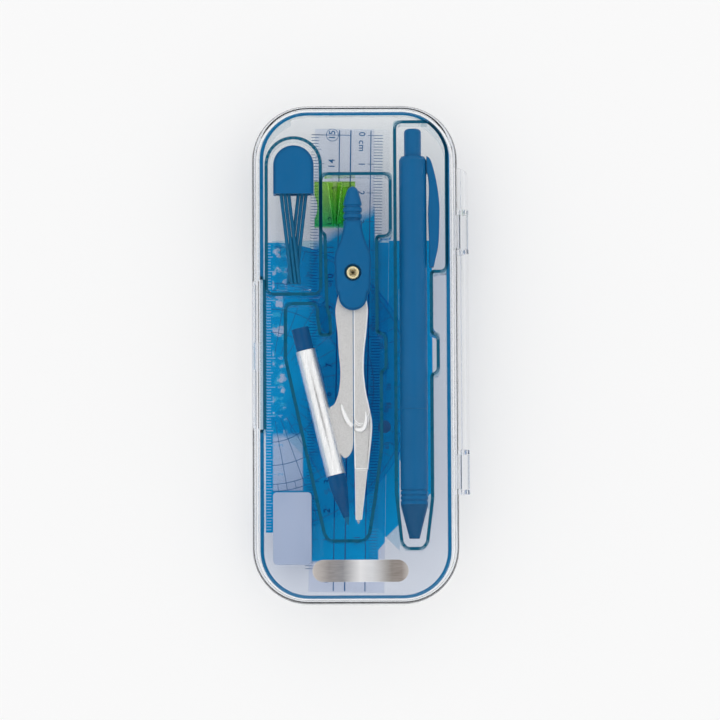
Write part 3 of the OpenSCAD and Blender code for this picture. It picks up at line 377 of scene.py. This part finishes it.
for name, part in nodes.items():
    part.data.materials.clear()
    part.data.materials.append(own_material.get(name, materials[slot_of[name]]))
    if slot_of[name] in CLEAR_PLASTICS:
        part.visible_shadow = False
        part.visible_diffuse = False

# ---- Advance spring: a copy of the CAD spring with a mesh of its own, riding with the case ----

solid_spring = nodes["advance_spring"]
spring = bpy.data.objects.new("spring_coil", solid_spring.data.copy())
spring.matrix_world = solid_spring.matrix_world.copy()
scene.collection.objects.link(spring)
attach(spring, "case")
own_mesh(spring)
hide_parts("advance_spring")

# ---- Rounded edges of hard parts ----

EDGES = {"compass_pencil_leg": 0.25, "compass_needle_leg": 0.4, "needle_holder": 0.15,
         "pencil_sleeve": 0.12, "pencil_clip": 0.25}          # widths in mm
FLAT, SHARP = math.radians(1), math.radians(40)

# The CAD meshes are split along their edges, so their corners are joined before the bevel
for name, width in EDGES.items():
    joined = nodes[name].modifiers.new("joined", "WELD")
    joined.merge_threshold = SAME_POINT
    plain = nodes[name].modifiers.new("plain", "DECIMATE")
    plain.decimate_type = "DISSOLVE"
    plain.angle_limit = FLAT
    bevel = nodes[name].modifiers.new("edges", "BEVEL")
    bevel.width = width * MM
    bevel.segments = 2
    bevel.limit_method = "ANGLE"
    bevel.angle_limit = SHARP
    bevel.use_clamp_overlap = name == "compass_pencil_leg"    # this one has spikes without it


def new_piece(name, points, faces, material):
    """A mesh of the scene's own, from points in metres."""
    mesh = bpy.data.meshes.new(name)
    mesh.from_pydata([tuple(point) for point in points], [], faces)
    mesh.materials.append(material)
    piece = bpy.data.objects.new(name, mesh)
    scene.collection.objects.link(piece)
    return piece


# ---- Painted shade of the tray: dark strokes along its outline and the rims of its wells, standing in for the walls' shade seen end on ----

TRAY_CORNER = 16.3 * MM             # radius of the tray's outer corners
CORNER_SLACK = 0.3 * MM
LEVEL = 0.99                        # least Z of a level face's normal
DECK_SLACK = 0.01 * MM
LINE_LIFT = 0.02 * MM


def tray_lines(name, paint, outline, width):
    """Flat strokes of painted shade on the deck along the outline, or along the rims of the wells.
    """
    solid = bmesh.new()
    solid.from_mesh(nodes["instrument_tray"].data)
    bmesh.ops.remove_doubles(solid, verts=solid.verts, dist=SAME_POINT)
    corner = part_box("instrument_tray")[1]
    half = [corner[axis] - TRAY_CORNER for axis in (0, 1)]
    points, faces = [], []
    for edge in solid.edges:
        a, b = (v.co for v in edge.verts)
        level = [face for face in edge.link_faces if face.normal.z > LEVEL]
        if min(a.z, b.z) < corner[2] - DECK_SLACK or len(level) != 1 or len(edge.link_faces) != 2:
            continue
        middle = (a + b) / 2
        past = Vector([max(abs(middle[axis]) - half[axis], 0) for axis in (0, 1)])
        if (past.length > TRAY_CORNER - CORNER_SLACK) != outline:
            continue
        inward = UP.cross(b - a).normalized()
        if inward.dot(level[0].calc_center_median() - middle) < 0:
            inward.negate()
        faces.append(tuple(range(len(points), len(points) + 4)))
        points += [p + UP * LINE_LIFT for p in (a, b, b + inward * width, a + inward * width)]
    solid.free()
    piece = new_piece(name, points, faces, paint)
    piece.visible_shadow = False
    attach(piece, "case")


# Dark blue along the outline and dark teal along the rims: painted shade of the walls seen end on
tray_lines("tray_outline", moulded_plastic("outline_painted_shade", (0.0, 0.14, 0.32), (0.0, 0.12, 0.28)),
           True, 1.25 * MM)
tray_lines("tray_rims", moulded_plastic("rim_painted_shade", (0.0, 0.10, 0.18), (0.0, 0.08, 0.15)),
           False, 1.1 * MM)

# ---- Prints, in millimetres ----

PRINT_LIFT = 0.03
THIN, FINE = 0.2, 0.18              # widths of the usual strokes
LETTER_SPACE = 1.15
BOLD = 0.012                        # share of a letter's size


def on_circle(degrees):
    """The point at that angle on a circle of radius 1."""
    return Vector((math.cos(math.radians(degrees)), math.sin(math.radians(degrees))))


class Print:
    """Thin flat strokes and digits on one level."""

    def __init__(self, name, z, centre=(0, 0), turn=0.0):
        self.name = name
        self.points, self.faces = [], []
        self.lie = (Matrix.Translation((centre[0], centre[1], z))
                    @ Matrix.Rotation(math.radians(turn), 4, "Z"))

    def face(self, corners):
        start = len(self.points)
        self.points += [self.lie @ Vector((x, y, 0)) * MM for x, y in corners]
        self.faces.append(tuple(range(start, start + len(corners))))

    def line(self, a, b, width=THIN):
        a, b = Vector(a), Vector(b)
        side = (b - a).normalized().orthogonal() * width / 2
        self.face([a - side, b - side, b + side, a + side])

    def arc(self, centre, radius, start=0, end=360, width=THIN, steps=48):
        centre = Vector(centre)
        spots = [on_circle(start + (end - start) * i / steps) for i in range(steps + 1)]
        for p, q in zip(spots, spots[1:]):
            self.face([centre + v for v in (p * (radius - width / 2), q * (radius - width / 2),
                                            q * (radius + width / 2), p * (radius + width / 2))])

    def disc(self, centre, radius, steps=32):
        self.face([Vector(centre) + radius * on_circle(360 * i / steps) for i in range(steps)])

    def text(self, body, place, size, turn):
        """Digits or letters of Blender's own font, centred on their place."""
        curve = bpy.data.curves.new("glyphs", "FONT")
        curve.body = body
        curve.size = size
        curve.align_x = curve.align_y = "CENTER"
        curve.resolution_u = 3
        curve.space_character = LETTER_SPACE
        curve.offset = BOLD * size
        holder = bpy.data.objects.new("glyphs", curve)
        outline = bpy.data.meshes.new_from_object(holder)
        turned = Matrix.Translation((*place, 0)) @ Matrix.Rotation(math.radians(turn), 4, "Z")
        for polygon in outline.polygons:
            self.face([(turned @ outline.vertices[i].co).xy for i in polygon.vertices])
        bpy.data.objects.remove(holder)
        bpy.data.curves.remove(curve)
        bpy.data.meshes.remove(outline)

    def finish(self, material, body):
        piece = new_piece(self.name, self.points, self.faces, material)
        piece.visible_shadow = False
        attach(piece, body)


def top_of(node):
    """Level of a print on that node."""
    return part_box(node)[1][2] / MM + PRINT_LIFT


def by_tick(mm, ten, five, one):
    """The value for whole centimetres, for half ones or for single millimetres."""
    return ten if mm % 10 == 0 else five if mm % 5 == 0 else one


dark_ink = ink("dark_ink", (0.01, 0.10, 0.26), (0.03, 0.15, 0.34))
pale_ink = ink("pale_ink", (0.30, 0.55, 0.78), (0.20, 0.45, 0.70))

# Ruler: two scales that run opposite ways, one along each edge
SCALE = 150
ZERO = 77.9                         # zero of the right-hand scale
OTHER_ZERO = ZERO - 152.5           # the left-hand scale's zero, in its ring
LEFT, RIGHT = -14.2, 10.5           # outer ends of the ticks
LEFT_DIGITS, RIGHT_DIGITS = -7.0, 3.2
DIGIT = 3.1
HALF_RULER = 79.6
MIDDLE_LINE = -0.6
LONG_LINES = ((-4.5, 0.35), (MIDDLE_LINE, 0.45), (6.35, 0.35))     # place across and width
scale = Print("ruler_scale", top_of("ruler"), (-2, -0.4), -1.02)
for x, width in LONG_LINES:
    scale.line((x, -HALF_RULER), (x, HALF_RULER), width)
for mm in range(SCALE + 1):
    y = ZERO - mm
    scale.line((by_tick(mm, 5.2, 7.4, 7.4), y), (RIGHT, y))
    scale.line((LEFT, y), (LEFT + by_tick(mm, 4.4, 3.4, 2.6), y))
scale.line((LEFT, ZERO), (MIDDLE_LINE, ZERO), 0.25)
for cm in range(1, SCALE // 10):
    scale.text(str(cm), (RIGHT_DIGITS, ZERO - 10 * cm), DIGIT, -90)
    scale.text(str(cm), (LEFT_DIGITS, ZERO - SCALE + 10 * cm), DIGIT, 90)
scale.text("0 cm", (RIGHT_DIGITS, ZERO - 2.2), DIGIT, -90)
scale.text("15", (LEFT_DIGITS, ZERO), DIGIT, 90)
scale.text("0", (LEFT_DIGITS, OTHER_ZERO), DIGIT, 90)
scale.text("15", (RIGHT_DIGITS, ZERO - SCALE), DIGIT, -90)
for y in (ZERO, OTHER_ZERO):
    scale.arc((LEFT_DIGITS, y), 2.1, steps=32)
scale.finish(dark_ink, "case")

# Protractor: millimetres along its straight edge, and a degree scale round its middle
edge = Print("protractor_edge_scale", top_of("protractor"), PROTRACTOR)
for mm in range(-49, 50):
    edge.line((-1.2, mm), (by_tick(mm, 2.2, 1.4, 0.7), mm), 0.35)
for cm in range(-4, 5):
    edge.text(str(cm + 5), (4.0, 10 * cm), 2.4, 90)
edge.finish(pale_ink, "case")

HUB, INNER, RING, OUTER = 12, 33.5, 36, 48.5      # radii of the degree scale
degrees = Print("protractor_degree_scale", top_of("protractor"), PROTRACTOR)
for radius in (19, 27, INNER, RING, OUTER):
    degrees.arc((0, 0), radius, -88, 88, 0.22)
for angle in range(-85, 86, 5):
    way = on_circle(angle)
    degrees.line(way * INNER, way * RING, FINE)
    degrees.line(way * (45 if angle % 10 else 43.5), way * OUTER, FINE)
    if angle % 10 == 0:
        degrees.line(way * HUB, way * INNER)
        degrees.text(str(90 - angle), way * 41, 2.2, angle - 90)
degrees.arc((9.2, -14.5), 1.8, steps=24)
degrees.finish(dark_ink, "case")

# 60 degree set square: a guide line, a filled disc and its two angles
guide = Print("set_square_guide", top_of("set_square_60"))
guide.line((8.65, -30.4), (8.65, -5.3), 0.25)
guide.disc((9.9, -23.9), 2.2)
guide.text("30", (11.6, -16.7), 2.2, 90)
guide.text("60", (10.7, -30.4), 2.2, 90)
guide.finish(dark_ink, "case")

# ---- Raised crescent on the compass legs, in millimetres; its near-white colour is a painted highlight ----

SUNK = 0.05                         # the ridge's foot, under the leg's top
RIDGE = 0.4                         # its height
FULL_WIDTH = 0.8                    # where the ridge is narrower it is lower too
CREST = 0.45                        # width of its top, as a share of its foot's
# Near-white with little metal: a painted highlight along the ridge
ridge_painted_highlight = metal("ridge_painted_highlight", WHITE, (0.92, 0.92, 0.92), 0.35, 0.28 * MM, 0.004 * MM,
                     metallic=0.3)


def crescent(name, body, path):
    """A ridge along path, tapered to both ends; path holds (x, y, width)."""
    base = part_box("compass_pencil_leg")[1][2] / MM - SUNK
    points = []
    for i, (x, y, width) in enumerate(path):
        before, after = path[max(i - 1, 0)], path[min(i + 1, len(path) - 1)]
        along = Vector((after[0] - before[0], after[1] - before[1])).normalized()
        side = Vector((-along.y, along.x)) * width / 2
        rise = RIDGE * min(1.0, width / FULL_WIDTH)
        for share, z in ((-1, 0), (-CREST, rise), (CREST, rise), (1, 0)):
            points.append(Vector((x + side.x * share, y + side.y * share, base + z)) * MM)
    faces = [(4 * i + a, 4 * i + b, 4 * i + 4 + b, 4 * i + 4 + a)
             for i in range(len(path) - 1) for a, b in ((0, 1), (1, 2), (2, 3), (3, 0))]
    faces += [(3, 2, 1, 0), tuple(range(len(points) - 4, len(points)))]
    piece = new_piece(name, points, faces, ridge_painted_highlight)
    piece.data.polygons.foreach_set("use_smooth", [True] * len(faces))
    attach(piece, body)


crescent("crescent_left", "compass_left_leg", [
    (-4.9, -16.8, 0.4), (-4.5, -18.4, 1.1), (-4.0, -19.8, 1.5), (-3.2, -21.6, 1.8),
    (-2.3, -23.1, 1.8), (-1.5, -24.1, 1.6), (-1.1, -24.5, 1.4)])
crescent("crescent_right", "compass_right_leg", [
    (-0.1, -25.2, 1.3), (0.7, -25.7, 1.6), (1.9, -25.7, 1.8), (2.8, -25.1, 1.8),
    (3.4, -23.9, 1.6), (3.6, -22.4, 1.3), (3.55, -20.8, 0.9), (3.4, -19.3, 0.4)])

# ---- Cross recess of the pivot screw: dark arms on the floor of its head's recess ----

CROSS_ARM = 1.15
pivot = [(low + high) / 2 / MM for low, high in zip(*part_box("compass_screw"))]
_, floor_spot, _, _ = nodes["compass_screw"].ray_cast(Vector((pivot[0], pivot[1], 30)) * MM, -UP)
cross = Print("screw_cross", floor_spot.z / MM + PRINT_LIFT, pivot[:2], 35)
for arm in ((CROSS_ARM, 0), (0, CROSS_ARM)):
    cross.line((-arm[0], -arm[1]), arm, 0.75)
cross.finish(moulded_plastic("recess_shade", (0.16, 0.12, 0.04), (0.10, 0.08, 0.02)), "case")

# ---- Bare plate on the lid, in millimetres ----

PLATE_X, PLATE_Y = 1.5, -73.8
PLATE_LENGTH, PLATE_WIDTH = 32.5, 7.5
PLATE_LAYERS = ((0.0, 0.0), (0.0, 0.1), (0.07, 0.155), (0.22, 0.18))   # inset, height on the lid
PILL_STEPS = 20

# Painted reflection in the foil's colour along the plate: bright in the middle, dark on both sides
# of it
PAINTED_SHEEN_ENDS = (-15.0, 18.0)
PAINTED_SHEEN = ((0.0, (0.60, 0.55, 0.52)), (0.18, (0.28, 0.26, 0.26)), (0.32, (0.26, 0.26, 0.28)),
         (0.5, (0.82, 0.82, 0.84)), (0.62, (0.70, 0.71, 0.74)), (0.82, (0.25, 0.22, 0.20)),
         (0.92, (0.27, 0.23, 0.21)), (1.0, (0.56, 0.52, 0.50)))


def pill(inset, z):
    """Outline of the plate, a bar with round ends, drawn in by inset."""
    r = PLATE_WIDTH / 2 - inset
    reach = PLATE_LENGTH / 2 - inset - r
    return [Vector((PLATE_X + side * reach + r * math.cos(a), PLATE_Y + r * math.sin(a), z)) * MM
            for side, first in ((1, -math.pi / 2), (-1, math.pi / 2))
            for a in (first + math.pi * i / PILL_STEPS for i in range(PILL_STEPS + 1))]


lid_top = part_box("lid_shell")[1][2] / MM
rows = [pill(inset, lid_top + height) for inset, height in PLATE_LAYERS]
count = len(rows[0])
faces = [(r * count + i, r * count + (i + 1) % count, (r + 1) * count + (i + 1) % count,
          (r + 1) * count + i) for r in range(len(rows) - 1) for i in range(count)]
faces += [tuple(range(count))[::-1], tuple(range((len(rows) - 1) * count, len(rows) * count))]
s = Shader("plate_foil_painted_sheen")
brushed = s.noise(0.25 * MM, detail=3.0, stretch=(0.08, 1, 1))
# The foil's colour with the painted reflection laid along it
s.surface(Base_Color=s.mix(s.ramp(brushed, (0.3, 0.0), (0.8, 0.15)),
                           s.ramp(s.band(s.plane()[0], *PAINTED_SHEEN_ENDS), *PAINTED_SHEEN), (0.95, 0.94, 0.92)),
          Metallic=0.35, Roughness=s.ramp(brushed, (0.3, 0.28), (0.7, 0.42)),
          Normal=s.bump(brushed, 0.002 * MM))
plate = new_piece("lid_plate", [point for row in rows for point in row], faces, s.material)
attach(plate, "lid")

# ---- Camera ----

IMAGE = 720                         # pixels across
SENSOR = 36                         # in mm, as Blender takes it
PX_PER_MM = 2.94                    # on the tray's deck
DISTANCE = 1.4                      # from the camera to the tray's deck
DECK_Z = 20.4 * MM
TILT = math.radians(5)              # towards the bottom end of the case
ROLL = math.radians(-0.25)
AIM = Vector((1.61 * MM, -2.0 * MM, DECK_Z))

camera_data = bpy.data.cameras.new("camera")
camera_data.sensor_width = SENSOR
camera_data.lens = PX_PER_MM * DISTANCE / MM * SENSOR / IMAGE
camera_data.clip_start = 0.01
camera_data.clip_end = 20
camera = bpy.data.objects.new("camera", camera_data)
camera.matrix_world = (
    Matrix.Translation(AIM) @ Matrix.Rotation(TILT, 4, "X") @ Matrix.Rotation(ROLL, 4, "Z")
    @ Matrix.Translation((0, 0, DISTANCE))
)
scene.collection.objects.link(camera)
scene.camera = camera

# ---- Light: soft from all sides, with a black screen over the bench ----

# The screen stands where level faces would mirror the sky towards the front, and so keeps them
# free of glare. Both are (place, brightness): by height, and by nearness to that direction.
SKY = ((0.0, 0.95), (0.3, 1.0), (0.6, 1.095), (1.0, 1.095))
SCREEN = ((0.96, 1.0), (0.98, 0.4), (0.988, 0.05), (1.0, 0.03))

world = bpy.data.worlds.new("studio")
world.use_nodes = True
scene.world = world
sky = Nodes(world.node_tree)
direction = sky.tree.nodes.new("ShaderNodeTexCoord").outputs["Generated"]
height = sky.node("ShaderNodeSeparateXYZ", Vector=direction).outputs["Z"]
nearness = sky.operate("ShaderNodeVectorMath", "DOT_PRODUCT",
                       (direction, (0, math.sin(TILT), math.cos(TILT)))).outputs["Value"]
light = sky.operate("ShaderNodeVectorMath", "MULTIPLY",
                    (sky.ramp(height, *SKY, interpolation="EASE"),
                     sky.ramp(nearness, *SCREEN, interpolation="EASE"))).outputs[0]
background = sky.node("ShaderNodeBackground", Color=light)
sky.node("ShaderNodeOutputWorld", Surface=background.outputs[0])

# ---- Floor ----

FLOOR_REACH = 4
FLOOR_DROP = 0.2 * MM
s = Shader("floor")
s.surface(Base_Color=(0.93, 0.93, 0.93), Roughness=0.9, Specular_IOR_Level=0.0)
floor = new_piece("floor", [(x * FLOOR_REACH, y * FLOOR_REACH, -FLOOR_DROP)
                            for x, y in ((-1, -1), (1, -1), (1, 1), (-1, 1))],
                  [(0, 1, 2, 3)], s.material)

scene.view_settings.view_transform = "Standard"
scene.cycles.max_bounces = 32
scene.cycles.transmission_bounces = 32
scene.cycles.transparent_max_bounces = 32
scene.cycles.diffuse_bounces = 4
scene.cycles.glossy_bounces = 6
